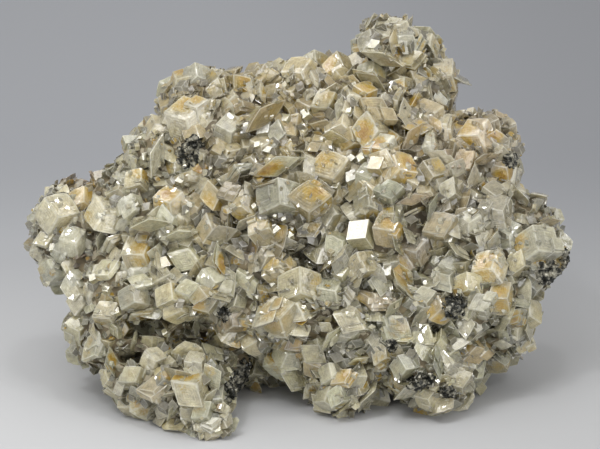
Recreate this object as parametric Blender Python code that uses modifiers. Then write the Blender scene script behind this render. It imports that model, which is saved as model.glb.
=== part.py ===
"""Cadmian smithsonite specimen: a lumpy mass of zinc ore overgrown by rhombohedral crystals.

The specimen leans back on three feet and a broken rear base. Places on it are given on its face, in
millimetres: right of its middle, up from its lower edge, and out towards the viewer.
"""

import math
import random

import bmesh
import bpy
from mathutils import Matrix, Vector, noise
from mathutils.bvhtree import BVHTree

MM = 0.001

# How the face stands: it leans back by this angle, and its lower edge meets the floor in front.
LEAN_BACK = math.radians(22)
LOWER_EDGE_OUT = 1.0

# Smithsonite: a cube stood on its corner and flattened along that axis, with faces 43 degrees off it.
AXIS_FLATTENING = 0.658
FACE_LEAN = math.degrees(math.atan(math.sqrt(2) * AXIS_FLATTENING))
EDGE_LEAN = 24.9
# A crystal shows about one and a half times its edge length across.
SHOWN_PER_EDGE = 1.5

# The mass is remeshed at this grain, roughened, and then brought down to plain facets.
MASS_GRAIN = 1.3
MASS_ROUGHNESS = 0.9
MASS_ROUGH_SPACING = 7.0
# A finer swell over the first: how many times finer, and its share.
FINER = 2.3
FINER_SHARE = 0.5
MASS_KEEP = 0.042
# Broken blocks at the back: their size, how far one stands over the next, and how unlike they are.
BACK_BLOCK = 13.0
BACK_STEP = 9.0
BACK_UNLIKE = 3.7

# Lines of sight start this far out, and a line that misses the mass seats its crystal near this depth.
SIGHT_START = 60.0
MISSED_DEPTH = -20.0
# How far a crystal stands out, as a share of its size, and how much it follows the surface under it.
STAND_OUT = 0.14
FOLLOW_SURFACE = 0.35

# Crystals that fill the room between the chosen ones.
FILL_SEED = 27
FILL_SIZE = (4.6, 7.6)
FILL_SPACING = 5.2
FILL_COUNT = 80
FILL_TRIES = 12
FILL_WANDER = 0.3
FILL_KINDS = ("corner", "edge", "edge", "face", "blade")
FILL_STAND_OUT = 0.1
FILL_LEAST_HEIGHT = 2.0
# The back is where the surface faces this far away from the viewer; crystals stand further apart there.
BACK_FROM = -0.35
BACK_SPACING = 2.1

FLOOR_BLOCK = 300.0
WELD = 0.001

# Lumps of the mass: right, up, out, then the half sizes in those directions.
LUMPS = (
    (19.0, 77.5, -21.0, 7.0, 6.4, 9.0),
    (26.0, 71.0, -23.0, 4.6, 7.2, 8.0),
    (-19.0, 66.5, -18.0, 9.0, 7.0, 10.0),
    (0.0, 67.5, -19.0, 9.5, 7.6, 11.0),
    (11.0, 68.0, -20.0, 8.0, 8.0, 10.0),
    (-46.0, 41.0, -20.0, 7.6, 11.0, 12.0),
    (-38.0, 45.5, -18.0, 6.5, 6.6, 10.0),
    (-32.0, 47.0, -18.0, 9.0, 9.5, 13.0),
    (-29.0, 56.5, -17.0, 5.0, 6.6, 9.0),
    (-5.0, 48.0, -17.0, 19.0, 18.0, 17.0),
    (20.0, 49.0, -18.0, 18.0, 18.0, 17.5),
    (36.0, 57.5, -19.0, 7.4, 7.6, 10.0),
    (38.0, 51.0, -20.0, 5.2, 8.0, 9.0),
    (43.5, 38.5, -20.0, 9.4, 10.5, 12.0),
    (38.0, 25.5, -18.0, 8.6, 9.6, 12.0),
    (-38.0, 23.0, -16.5, 8.6, 9.2, 11.0),
    (-28.0, 31.0, -17.0, 12.0, 8.0, 14.0),
    (-20.0, 29.5, -9.0, 11.0, 4.6, 9.5),
    (-22.5, 10.5, -8.0, 8.0, 7.4, 9.0),
    (-18.4, 4.0, -2.5, 3.6, 4.6, 4.6),
    (-30.0, 13.0, -11.0, 9.0, 6.6, 8.4),
    (-21.0, 18.0, -20.0, 12.0, 12.0, 12.0),
    (0.0, 27.0, -15.0, 17.0, 10.0, 15.0),
    (22.0, 26.0, -16.0, 15.0, 9.0, 14.0),
    (9.0, 13.0, -13.0, 6.4, 7.6, 8.4),
    (26.5, 15.6, -13.0, 8.6, 9.8, 10.0),
    (0.0, 24.0, -31.0, 30.0, 14.0, 15.0),
    (2.0, 46.0, -27.0, 42.0, 20.0, 13.0),
    (4.0, 62.0, -26.0, 26.0, 12.0, 11.0),
    # Broad swells that carry the lobes into one another
    (-10.0, 58.0, -16.0, 20.0, 14.0, 12.5),
    (10.0, 62.0, -17.0, 18.0, 12.0, 12.5),
    (-28.0, 44.0, -17.0, 16.0, 14.0, 13.5),
    (33.0, 43.0, -18.0, 13.0, 12.0, 13.5),
    (0.0, 38.0, -15.5, 30.0, 14.0, 15.0),
    (-32.0, 30.0, -16.0, 14.0, 13.0, 12.5),
    (32.0, 30.0, -16.0, 14.0, 14.0, 13.0),
    (12.0, 22.0, -16.0, 22.0, 10.0, 13.5),
)

# Hollows cut into the mass, in the same terms.
HOLLOWS = (
    (-31.0, 21.4, -5.0, 5.6, 4.0, 10.0),
    (-33.0, 17.2, -6.0, 3.6, 3.4, 8.0),
    (-21.5, 19.8, -2.0, 10.6, 3.0, 12.0),
    (-5.0, 9.0, -7.0, 8.0, 5.4, 14.0),
    (-40.4, 42.2, -8.0, 2.8, 1.8, 4.5),
    (-29.4, 49.2, -6.0, 2.4, 2.6, 4.5),
    (-13.6, 59.8, -5.0, 3.2, 2.0, 5.0),
    (17.6, 62.6, -6.0, 2.6, 2.4, 5.0),
    (12.0, 49.6, 0.0, 2.2, 2.0, 4.0),
    (19.2, 32.4, -2.0, 2.6, 2.2, 5.0),
    (1.2, 36.6, -1.0, 4.2, 3.2, 5.5),
    (-12.0, 41.4, -1.0, 2.2, 2.2, 4.5),
    (-24.2, 34.0, -3.0, 2.6, 1.8, 4.5),
    (27.6, 22.0, -4.0, 2.6, 2.4, 5.0),
    (38.4, 21.8, -7.0, 2.4, 2.2, 4.5),
    (42.4, 45.6, -9.0, 2.8, 1.8, 4.5),
)

# Crystals that stand out: right, up, size across, kind and turn in degrees.
CRYSTALS = (
    # Upper left lobe and the bridge to the peak
    (-22.4, 64.0, 8.0, "corner", 12), (-16.8, 69.6, 5.4, "face", 70), (-12.2, 66.0, 5.4, "edge", 10),
    (-14.2, 62.0, 5.8, "edge", 60), (-7.0, 64.6, 9.0, "blade", 40), (-4.0, 61.2, 5.0, "face", 80),
    (-7.6, 58.6, 4.4, "corner", 0), (0.0, 73.2, 6.2, "corner", 25), (4.2, 78.4, 6.2, "edge", 5),
    (8.0, 74.0, 6.6, "face", 80), (5.2, 67.0, 5.4, "face", 30), (7.8, 66.0, 5.0, "blade", 80),
    (-26.6, 70.4, 5.0, "edge", 50), (-20.6, 72.6, 5.0, "corner", 70), (-28.8, 56.8, 8.4, "blade", 75),
    (-6.8, 61.8, 3.8, "face", 45), (-29.4, 63.6, 5.0, "face", 15), (-9.4, 70.8, 5.4, "edge", 120),
    # Peak and shoulder
    (14.2, 72.8, 5.4, "corner", 50), (16.8, 76.6, 8.0, "blade", -20), (18.8, 81.2, 6.6, "blade", 88),
    (26.0, 79.0, 5.0, "corner", 40), (29.4, 73.0, 6.0, "edge", 95), (19.6, 67.8, 5.0, "edge", 75),
    (25.4, 64.4, 6.6, "corner", 5), (22.6, 76.0, 5.4, "face", 20), (28.6, 68.0, 5.0, "face", 100),
    (14.4, 80.2, 5.2, "edge", 130), (23.4, 71.4, 5.6, "edge", 20), (10.6, 79.2, 4.6, "face", 60),
    # Upper middle
    (10.6, 60.0, 5.4, "edge", 15), (9.0, 56.6, 4.8, "corner", 35), (14.2, 61.8, 7.0, "face", 85),
    (22.2, 60.2, 6.6, "blade", 55), (16.4, 58.0, 5.8, "corner", 20), (13.6, 52.4, 5.0, "edge", 70),
    (15.4, 55.0, 4.2, "face", 35), (19.6, 54.0, 6.2, "corner", 80), (26.0, 53.2, 5.8, "edge", 35),
    (33.0, 55.0, 5.6, "face", 40), (18.0, 49.2, 5.2, "face", 10), (22.8, 48.2, 6.4, "blade", 15),
    (26.4, 58.4, 5.6, "edge", 100), (29.4, 61.6, 6.0, "edge", 85), (35.6, 60.8, 6.4, "corner", 30),
    (36.8, 56.4, 5.4, "blade", 20), (30.0, 49.6, 5.4, "face", 65), (35.2, 49.0, 5.6, "edge", 150),
    # Middle, with the two large rhombs
    (-4.0, 54.6, 9.6, "blade", 22), (5.8, 53.4, 8.2, "face", 17), (1.6, 47.2, 8.6, "face", 2),
    (-4.0, 48.2, 8.0, "edge", 5), (-11.8, 53.4, 5.4, "edge", 30), (-11.2, 47.0, 5.4, "corner", 45),
    (-16.6, 49.0, 5.8, "face", 100), (13.8, 47.0, 5.8, "corner", 65), (17.8, 42.2, 6.6, "edge", 80),
    (12.2, 41.0, 6.4, "face", 45), (28.0, 42.4, 6.8, "face", 25), (33.6, 43.6, 4.6, "corner", 0),
    (26.2, 46.8, 4.8, "blade", 70), (6.8, 44.6, 5.4, "edge", 140), (23.0, 38.0, 5.8, "corner", 20),
    (-7.4, 42.0, 6.0, "edge", 110), (7.6, 39.2, 5.4, "face", 120), (31.6, 37.6, 5.4, "blade", 140),
    # Left middle and left lobe
    (-32.6, 51.6, 5.0, "face", 50), (-22.0, 51.8, 7.6, "edge", 0), (-26.0, 47.4, 5.6, "corner", 10),
    (-21.0, 46.6, 4.8, "edge", 60), (-48.6, 45.2, 7.2, "edge", 35), (-43.6, 47.6, 5.2, "corner", 55),
    (-51.0, 40.0, 6.2, "face", 15), (-45.4, 39.6, 5.4, "edge", 75), (-38.8, 45.0, 7.0, "edge", 150),
    (-33.4, 46.4, 5.0, "face", 75), (-29.8, 43.2, 7.4, "blade", 8), (-24.2, 41.2, 7.0, "blade", 12),
    (-32.0, 37.2, 6.8, "edge", 88), (-27.6, 34.8, 7.0, "blade", 115), (-22.4, 37.2, 6.8, "face", 160),
    (-39.0, 33.8, 5.8, "corner", 25), (-49.0, 33.6, 6.0, "edge", 20), (-44.6, 30.8, 5.6, "face", 95),
    (-17.4, 42.0, 5.4, "corner", 85), (-37.0, 39.4, 5.2, "edge", 40), (-51.4, 46.2, 4.8, "corner", 5),
    # Lower left, round the hollow
    (-43.6, 27.6, 5.4, "face", 85), (-44.4, 22.0, 5.4, "edge", 65), (-38.4, 25.2, 5.4, "face", 30),
    (-35.4, 22.4, 5.2, "face", 88), (-37.4, 15.6, 5.6, "blade", 100), (-29.2, 16.0, 4.6, "edge", 45),
    (-28.6, 10.4, 6.2, "corner", 15), (-20.8, 15.2, 4.8, "edge", 80), (-21.6, 10.4, 7.2, "face", 140),
    (-33.0, 28.4, 5.6, "edge", 10), (-26.0, 28.8, 5.4, "face", 60), (-41.0, 18.6, 5.2, "corner", 50),
    (-25.2, 6.6, 4.6, "blade", 60), (-16.4, 8.4, 4.8, "edge", 95), (-33.2, 12.6, 5.0, "face", 35),
    # Lower middle
    (-15.8, 36.2, 8.4, "blade", 100), (-17.8, 31.8, 5.2, "edge", 40), (-10.4, 31.8, 5.4, "face", 110),
    (-4.2, 34.2, 6.0, "corner", 50), (0.0, 30.4, 8.0, "edge", 3), (6.2, 29.8, 6.0, "edge", 80),
    (-18.6, 26.8, 5.0, "face", 20), (-13.2, 23.8, 6.0, "edge", 15), (-4.0, 24.8, 6.8, "corner", 15),
    (-3.6, 15.6, 6.4, "corner", 40), (-0.4, 19.8, 4.8, "face", 40), (6.4, 20.8, 6.4, "blade", 50),
    (10.2, 24.8, 6.6, "face", 155), (8.4, 12.4, 5.2, "corner", 30), (8.0, 8.4, 6.2, "edge", 10),
    (12.2, 34.8, 6.0, "edge", 25), (15.4, 28.4, 7.2, "edge", 170), (20.4, 30.8, 6.4, "blade", 125),
    (18.6, 26.6, 5.0, "blade", 50), (21.4, 34.6, 6.2, "face", 88), (24.8, 28.2, 4.8, "face", 15),
    (7.8, 33.2, 4.6, "face", 50), (-9.0, 20.0, 5.4, "edge", 120), (3.4, 15.0, 5.2, "edge", 65),
    # Right lobe and lower right
    (47.2, 38.8, 8.2, "edge", 15), (49.4, 43.4, 5.2, "blade", 10), (37.8, 34.4, 6.2, "corner", 40),
    (44.0, 35.4, 5.2, "face", 70), (36.4, 26.8, 5.2, "face", 25), (40.2, 28.4, 6.0, "edge", 88),
    (28.0, 26.4, 5.4, "corner", 75), (27.4, 15.4, 5.6, "blade", 95), (21.0, 14.8, 5.2, "edge", 30),
    (21.8, 10.2, 6.2, "blade", 30), (34.4, 18.4, 6.0, "edge", 135), (40.0, 16.2, 5.8, "edge", 90),
    (16.6, 17.2, 5.0, "face", 65), (31.8, 11.6, 5.4, "face", 20), (45.6, 25.0, 5.4, "corner", 60),
    (46.4, 30.6, 5.2, "edge", 50), (41.6, 41.0, 5.2, "corner", 10), (50.6, 34.6, 5.2, "face", 80),
    (38.6, 48.8, 5.2, "edge", 55), (42.0, 52.0, 5.0, "face", 45), (33.4, 30.8, 5.4, "edge", 5),
    (44.6, 20.2, 5.0, "edge", 115), (25.6, 8.6, 4.6, "corner", 20), (29.0, 32.4, 5.6, "face", 130),
)


def face_frame():
    """Takes millimetres on the face (right, up, out) to metres in the part's own frame."""
    sine, cosine = math.sin(LEAN_BACK), math.cos(LEAN_BACK)
    axes = Matrix(((1, 0, 0), (0, sine, -cosine), (0, cosine, sine))).to_4x4()
    return axes @ Matrix.Scale(MM, 4) @ Matrix.Translation((0, 0, -LOWER_EDGE_OUT))


FACE = face_frame()
OUT = (FACE.to_3x3() @ Vector((0, 0, 1))).normalized()
UP = (FACE.to_3x3() @ Vector((0, 1, 0))).normalized()


def clear_scene():
    for thing in list(bpy.data.objects):
        bpy.data.objects.remove(thing)


def collection(name):
    found = bpy.data.collections.new(name)
    bpy.context.scene.collection.children.link(found)
    return found


def add_object(name, bm, home):
    mesh = bpy.data.meshes.new(name)
    bm.to_mesh(mesh)
    bm.free()
    thing = bpy.data.objects.new(name, mesh)
    home.objects.link(thing)
    return thing


def shaped(thing):
    """The mesh of an object with its modifiers applied, as a bmesh; the object is removed."""
    depsgraph = bpy.context.evaluated_depsgraph_get()
    depsgraph.update()
    mesh = bpy.data.meshes.new_from_object(thing.evaluated_get(depsgraph))
    bm = bmesh.new()
    bm.from_mesh(mesh)
    bpy.data.meshes.remove(mesh)
    bpy.data.objects.remove(thing)
    return bm


def as_guide(thing):
    thing.hide_render = True
    thing.display_type = "WIRE"
    return thing


def ellipsoids(rows, fineness):
    bm = bmesh.new()
    for right, up, out, half_right, half_up, half_out in rows:
        place = Matrix.Translation((right, up, out)) @ Matrix.Diagonal((half_right, half_up, half_out, 1))
        bmesh.ops.create_icosphere(bm, subdivisions=fineness, radius=1, matrix=FACE @ place)
    bmesh.ops.recalc_face_normals(bm, faces=bm.faces)
    return bm


def boolean(thing, other, operation, crossing=False):
    cut = thing.modifiers.new(operation.lower(), "BOOLEAN")
    cut.operation = operation
    cut.object = other
    cut.solver = "EXACT"
    cut.use_self = crossing


def roughen(bm):
    """Moves the surface in and out, more at the back, where it is broken rock that crystals leave bare."""
    for vert in bm.verts:
        spot = vert.co / (MASS_ROUGH_SPACING * MM)
        swell = noise.noise(spot) + FINER_SHARE * noise.noise(spot * FINER)
        block = noise.noise(noise.voronoi(vert.co / (BACK_BLOCK * MM))[1][0] * BACK_UNLIKE)
        backward = max(0.0, -vert.normal.dot(OUT))
        vert.co += vert.normal * (swell * MASS_ROUGHNESS + backward * block * BACK_STEP) * MM


def add_remesh(thing):
    remesh = thing.modifiers.new("grow together", "REMESH")
    remesh.mode = "VOXEL"
    remesh.voxel_size = MASS_GRAIN * MM


def make_mass(parts, cutters):
    """The ore under the crystals: its lumps grown together, roughened and hollowed."""
    mass = add_object("mass", ellipsoids(LUMPS, 3), parts)
    add_remesh(mass)
    bm = shaped(mass)
    roughen(bm)
    mass = add_object("mass", bm, parts)
    hollows = as_guide(add_object("hollows", ellipsoids(HOLLOWS, 2), cutters))
    boolean(mass, hollows, "DIFFERENCE", crossing=True)
    add_remesh(mass)
    bm = shaped(mass)
    bpy.data.objects.remove(hollows)
    keep_largest(bm)
    mass = add_object("mass", bm, parts)
    decimate = mass.modifiers.new("facets", "DECIMATE")
    decimate.ratio = MASS_KEEP
    return shaped(mass)


def rhombohedron(thin=1.0):
    """A unit cube made a rhombohedron of edge 1, its axis along Z and one pair of faces thinned."""
    on_corner = Vector((1, 1, 1)).rotation_difference(Vector((0, 0, 1))).to_matrix().to_4x4()
    flatten = Matrix.Diagonal((1, 1, AXIS_FLATTENING, 1))
    shape = flatten @ on_corner
    edge = (shape.to_3x3() @ Vector((1, 0, 0))).length
    thin_face = shape.to_3x3() @ Vector((0, 0, 1))
    heading = math.atan2(thin_face.y, thin_face.x)
    square_on = Matrix.Rotation(math.pi / 2 - heading, 4, "Z")
    return square_on @ Matrix.Scale(1 / edge, 4) @ shape @ Matrix.Diagonal((1, 1, thin, 1))


# Kind: how far the axis leans from the viewer, its turn on that axis, and the thickness.
KINDS = {
    "corner": (0.0, 0.0, 1.0),
    "edge": (EDGE_LEAN, 180.0, 1.0),
    "face": (FACE_LEAN - 6.0, 0.0, 0.9),
    "blade": (FACE_LEAN + 72.0, 0.0, 0.5),
}


def crystal_matrix(place, aim, size, kind, turn):
    """Sets one crystal at place, with its named side towards aim and turned as the eye sees it."""
    lean, spin, thin = KINDS[kind]
    across = UP.cross(aim).normalized()
    basis = Matrix((across, aim.cross(across), aim)).transposed().to_4x4()
    pose = (
        Matrix.Rotation(math.radians(turn), 4, "Z")
        @ Matrix.Rotation(math.radians(lean), 4, "X")
        @ Matrix.Rotation(math.radians(spin), 4, "Z")
    )
    edge = size * MM / SHOWN_PER_EDGE
    return Matrix.Translation(place) @ basis @ pose @ Matrix.Scale(edge, 4) @ rhombohedron(thin)


def chosen_crystals(ground):
    """The hand-placed crystals, each seated where a line of sight meets the mass."""
    for right, up, size, kind, turn in CRYSTALS:
        hit, normal, _, _ = ground.ray_cast(FACE @ Vector((right, up, SIGHT_START)), -OUT)
        if hit is None:
            hit, normal, _, _ = ground.find_nearest(FACE @ Vector((right, up, MISSED_DEPTH)))
        aim = (OUT + normal * FOLLOW_SURFACE).normalized()
        spot = hit + OUT * size * STAND_OUT * MM
        yield spot, crystal_matrix(spot, aim, size, kind, turn)


def fill_crystals(bm, taken):
    """More crystals where there is room: many on the face and the sides, few on the broken back."""
    rng = random.Random(FILL_SEED)
    faces = list(bm.faces)
    weights = [face.calc_area() for face in faces]
    placed = 0
    for face in rng.choices(faces, weights, k=FILL_COUNT * FILL_TRIES):
        if placed == FILL_COUNT:
            return
        size = rng.uniform(*FILL_SIZE)
        turn = rng.uniform(0, 360)
        kind = rng.choice(FILL_KINDS)
        wander = Vector([rng.gauss(0, FILL_WANDER) for _ in range(3)])
        on_back = face.normal.dot(OUT) < BACK_FROM
        spot = face.calc_center_median()
        room = FILL_SPACING * MM * (BACK_SPACING if on_back else 1.0)
        if spot.z < FILL_LEAST_HEIGHT * MM or any((spot - other).length < room for other in taken):
            continue
        taken.append(spot)
        placed += 1
        aim = (face.normal + wander).normalized()
        stand_out = -FILL_STAND_OUT if on_back else FILL_STAND_OUT
        yield crystal_matrix(spot + face.normal * size * stand_out * MM, aim, size, kind, turn)


def make_crystals(mass, home):
    ground = BVHTree.FromBMesh(mass)
    bm = bmesh.new()
    taken = []
    for spot, matrix in chosen_crystals(ground):
        taken.append(spot)
        bmesh.ops.create_cube(bm, size=1.0, matrix=matrix)
    for matrix in fill_crystals(mass, taken):
        bmesh.ops.create_cube(bm, size=1.0, matrix=matrix)
    return add_object("crystals", bm, home)


def keep_largest(bm):
    """Drops any crystal that the union left hanging free of the rest."""
    waiting = set(bm.verts)
    groups = []
    while waiting:
        edge_of_group = [waiting.pop()]
        group = set(edge_of_group)
        while edge_of_group:
            vert = edge_of_group.pop()
            near = {edge.other_vert(vert) for edge in vert.link_edges} & waiting
            waiting -= near
            group |= near
            edge_of_group.extend(near)
        groups.append(group)
    groups.sort(key=len)
    bmesh.ops.delete(bm, geom=[vert for group in groups[:-1] for vert in group], context="VERTS")


def centre_footprint(bm):
    """Puts the middle of the specimen's box over the origin; its feet already stand at height 0."""
    across = [vert.co.x for vert in bm.verts]
    deep = [vert.co.y for vert in bm.verts]
    middle = Vector((min(across) + max(across), min(deep) + max(deep), 0)) / 2
    bmesh.ops.translate(bm, verts=bm.verts, vec=-middle)
    return middle


def stone_material():
    """Translucent zinc carbonate: pale greenish tan, glassy to pearly."""
    material = bpy.data.materials.new("smithsonite")
    material.use_nodes = True
    shader = material.node_tree.nodes["Principled BSDF"]
    shader.inputs["Base Color"].default_value = (0.42, 0.36, 0.23, 1)
    shader.inputs["Roughness"].default_value = 0.3
    shader.inputs["Metallic"].default_value = 0.0
    return material


def make_cluster(parts, cutters):
    mass = make_mass(parts, cutters)
    crystals = as_guide(make_crystals(mass, cutters))
    cluster = add_object("smithsonite_cluster", mass, parts)
    boolean(cluster, crystals, "UNION", crossing=True)
    floor = bmesh.new()
    below = Matrix.Translation((0, 0, -FLOOR_BLOCK * MM / 2))
    bmesh.ops.create_cube(floor, size=FLOOR_BLOCK * MM, matrix=below)
    floor = as_guide(add_object("floor cut", floor, cutters))
    boolean(cluster, floor, "DIFFERENCE")
    bm = shaped(cluster)
    keep_largest(bm)
    bmesh.ops.remove_doubles(bm, verts=bm.verts, dist=WELD * MM)
    bmesh.ops.triangulate(bm, faces=bm.faces)
    middle = centre_footprint(bm)
    cluster = add_object("smithsonite_cluster", bm, parts)
    cluster["moved_by"] = middle
    cluster.data.materials.append(stone_material())
    return cluster


def main():
    clear_scene()
    parts = collection("cadmian smithsonite specimen")
    cutters = collection("cutters")
    make_cluster(parts, cutters)


main()
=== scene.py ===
"""Looks of the cadmian smithsonite specimen: its crystals, its ore, its dark sulphide and a plain studio.

Places are given on the specimen's face, in millimetres: right of its middle, up from its lower edge and
out towards the viewer. The face leans back, and the CAD solid stands under the same numbers.
"""

import functools
import math
import random

import bmesh
import bpy
from bpy.props import FloatProperty, FloatVectorProperty, IntProperty, PointerProperty
from mathutils import Matrix, Vector, noise
from mathutils.bvhtree import BVHTree


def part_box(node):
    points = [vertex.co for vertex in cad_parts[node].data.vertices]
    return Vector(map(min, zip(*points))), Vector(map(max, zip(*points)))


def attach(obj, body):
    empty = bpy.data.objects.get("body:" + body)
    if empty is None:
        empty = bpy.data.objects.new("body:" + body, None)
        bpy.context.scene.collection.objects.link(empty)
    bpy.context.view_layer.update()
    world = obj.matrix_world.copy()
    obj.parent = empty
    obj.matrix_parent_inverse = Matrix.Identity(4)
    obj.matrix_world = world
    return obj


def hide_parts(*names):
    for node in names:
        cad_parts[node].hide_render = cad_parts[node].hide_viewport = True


bl_info = {
    "name": "Smithsonite specimen",
    "version": (1, 0, 0),
    "blender": (4, 5, 0),
    "location": "View3D > Sidebar > Specimen",
    "description": "Grows smithsonite rhombs over a lumpy mass of ore and sets a plain studio round it",
    "category": "Add Mesh",
}

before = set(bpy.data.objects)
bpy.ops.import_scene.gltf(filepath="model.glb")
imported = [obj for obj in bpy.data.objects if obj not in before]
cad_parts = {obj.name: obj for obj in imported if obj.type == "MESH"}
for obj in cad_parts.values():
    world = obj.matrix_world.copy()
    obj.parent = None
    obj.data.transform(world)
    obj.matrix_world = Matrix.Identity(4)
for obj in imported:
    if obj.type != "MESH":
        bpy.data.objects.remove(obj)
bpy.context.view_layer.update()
NODE = "smithsonite_cluster"
NODE_LOW, NODE_HIGH = (Vector(corner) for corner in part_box(NODE))
NODE_MIDDLE = (NODE_LOW + NODE_HIGH) / 2

MM = 0.001
UNIT_CORNERS = [(x, y, z) for x in (-0.5, 0.5) for y in (-0.5, 0.5) for z in (-0.5, 0.5)]
# How far the unit crystal's corners may stand past the CAD solid's box; less than nothing keeps them
# inside, because worn corners and satellites reach further. The front is where the foot's tip stands.
BOX_SLACK = -0.3 * MM
FRONT_SLACK = 0.7 * MM
# Where a piece is cut off flat to stand, and how low a crystal may be seated.
CUT_HEIGHT = 0.01 * MM
LOWEST_SEAT = 0.5 * MM
LOWEST_DRUSE = 0.8 * MM
# How deep in the ore a corner is before its face counts as out of sight.
BURIED = 0.25 * MM

# How the face stands: its lean, and where its lower edge meets the floor from the footprint's middle.
LEAN_BACK = math.radians(22)
LOWER_EDGE_OUT = 1.0
FACE_SHIFT_X = 0.647
FACE_SHIFT_Y = -31.364

# Smithsonite: a cube stood on its corner and flattened along that axis, with faces 43 degrees off it.
AXIS_FLATTENING = 0.658
FACE_LEAN = math.degrees(math.atan(math.sqrt(2) * AXIS_FLATTENING))
EDGE_LEAN = 24.9
SHOWN_PER_EDGE = 1.5
# How much flatter than the true form the crystals of the crust are.
FLATNESS = (0.95, 0.78, 0.62, 0.52, 0.42, 0.34)
AXES = [Vector(axis) for axis in ((1, 0, 0), (-1, 0, 0), (0, 1, 0), (0, -1, 0), (0, 0, 1), (0, 0, -1))]
# The marks that each crystal carries on its faces.
COLOUR_MARKS = ("tint", "heart")
NUMBER_MARKS = ("amber", "rust", "polish")

# Lumps of the mass: right, up, out, then the half sizes in those directions.
LUMPS = (
    (19.0, 77.5, -21.0, 7.0, 6.4, 9.0),
    (26.0, 71.0, -23.0, 4.6, 7.2, 8.0),
    (-19.0, 66.5, -18.0, 9.0, 7.0, 10.0),
    (0.0, 67.5, -19.0, 9.5, 7.6, 11.0),
    (11.0, 68.0, -20.0, 8.0, 8.0, 10.0),
    (-46.0, 41.0, -20.0, 7.6, 11.0, 12.0),
    (-38.0, 45.5, -18.0, 6.5, 6.6, 10.0),
    (-32.0, 47.0, -18.0, 9.0, 9.5, 13.0),
    (-29.0, 56.5, -17.0, 5.0, 6.6, 9.0),
    (-5.0, 48.0, -17.0, 19.0, 18.0, 17.0),
    (20.0, 49.0, -18.0, 18.0, 18.0, 17.5),
    (36.0, 57.5, -19.0, 7.4, 7.6, 10.0),
    (38.0, 51.0, -20.0, 5.2, 8.0, 9.0),
    (43.5, 38.5, -20.0, 9.4, 10.5, 12.0),
    (38.0, 25.5, -18.0, 8.6, 9.6, 12.0),
    (-38.0, 23.0, -16.5, 8.6, 9.2, 11.0),
    (-28.0, 31.0, -17.0, 12.0, 8.0, 14.0),
    (-20.0, 29.5, -9.0, 11.0, 4.6, 9.5),
    (-22.5, 10.5, -8.0, 8.0, 7.4, 9.0),
    (-18.4, 4.0, -2.5, 3.6, 4.6, 4.6),
    (-30.0, 13.0, -11.0, 9.0, 6.6, 8.4),
    (-21.0, 18.0, -20.0, 12.0, 12.0, 12.0),
    (0.0, 27.0, -15.0, 17.0, 10.0, 15.0),
    (22.0, 26.0, -16.0, 15.0, 9.0, 14.0),
    (9.0, 13.0, -13.0, 6.4, 7.6, 8.4),
    (26.5, 15.6, -13.0, 8.6, 9.8, 10.0),
    (0.0, 24.0, -31.0, 30.0, 14.0, 15.0),
    (2.0, 46.0, -27.0, 42.0, 20.0, 13.0),
    (4.0, 62.0, -26.0, 26.0, 12.0, 11.0),
    # Broad swells that carry the lobes into one another
    (-10.0, 58.0, -16.0, 20.0, 14.0, 12.5),
    (10.0, 62.0, -17.0, 18.0, 12.0, 12.5),
    (-28.0, 44.0, -17.0, 16.0, 14.0, 13.5),
    (33.0, 43.0, -18.0, 13.0, 12.0, 13.5),
    (0.0, 38.0, -15.5, 30.0, 14.0, 15.0),
    (-32.0, 30.0, -16.0, 14.0, 13.0, 12.5),
    (32.0, 30.0, -16.0, 14.0, 14.0, 13.0),
    (12.0, 22.0, -16.0, 22.0, 10.0, 13.5),
)

# Hollows in the mass, in the same terms.
HOLLOWS = (
    (-31.0, 21.4, -5.0, 5.6, 4.0, 10.0),
    (-33.0, 17.2, -6.0, 3.6, 3.4, 8.0),
    (-21.5, 19.8, -2.0, 10.6, 3.0, 12.0),
    (-5.0, 9.0, -7.0, 8.0, 5.4, 14.0),
    (-40.4, 42.2, -8.0, 2.8, 1.8, 4.5),
    (-29.4, 49.2, -6.0, 2.4, 2.6, 4.5),
    (-13.6, 59.8, -5.0, 3.2, 2.0, 5.0),
    (17.6, 62.6, -6.0, 2.6, 2.4, 5.0),
    (12.0, 49.6, 0.0, 2.2, 2.0, 4.0),
    (19.2, 32.4, -2.0, 2.6, 2.2, 5.0),
    (1.2, 36.6, -1.0, 4.2, 3.2, 5.5),
    (-12.0, 41.4, -1.0, 2.2, 2.2, 4.5),
    (-24.2, 34.0, -3.0, 2.6, 1.8, 4.5),
    (27.6, 22.0, -4.0, 2.6, 2.4, 5.0),
    (38.4, 21.8, -7.0, 2.4, 2.2, 4.5),
    (42.4, 45.6, -9.0, 2.8, 1.8, 4.5),
)

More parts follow.
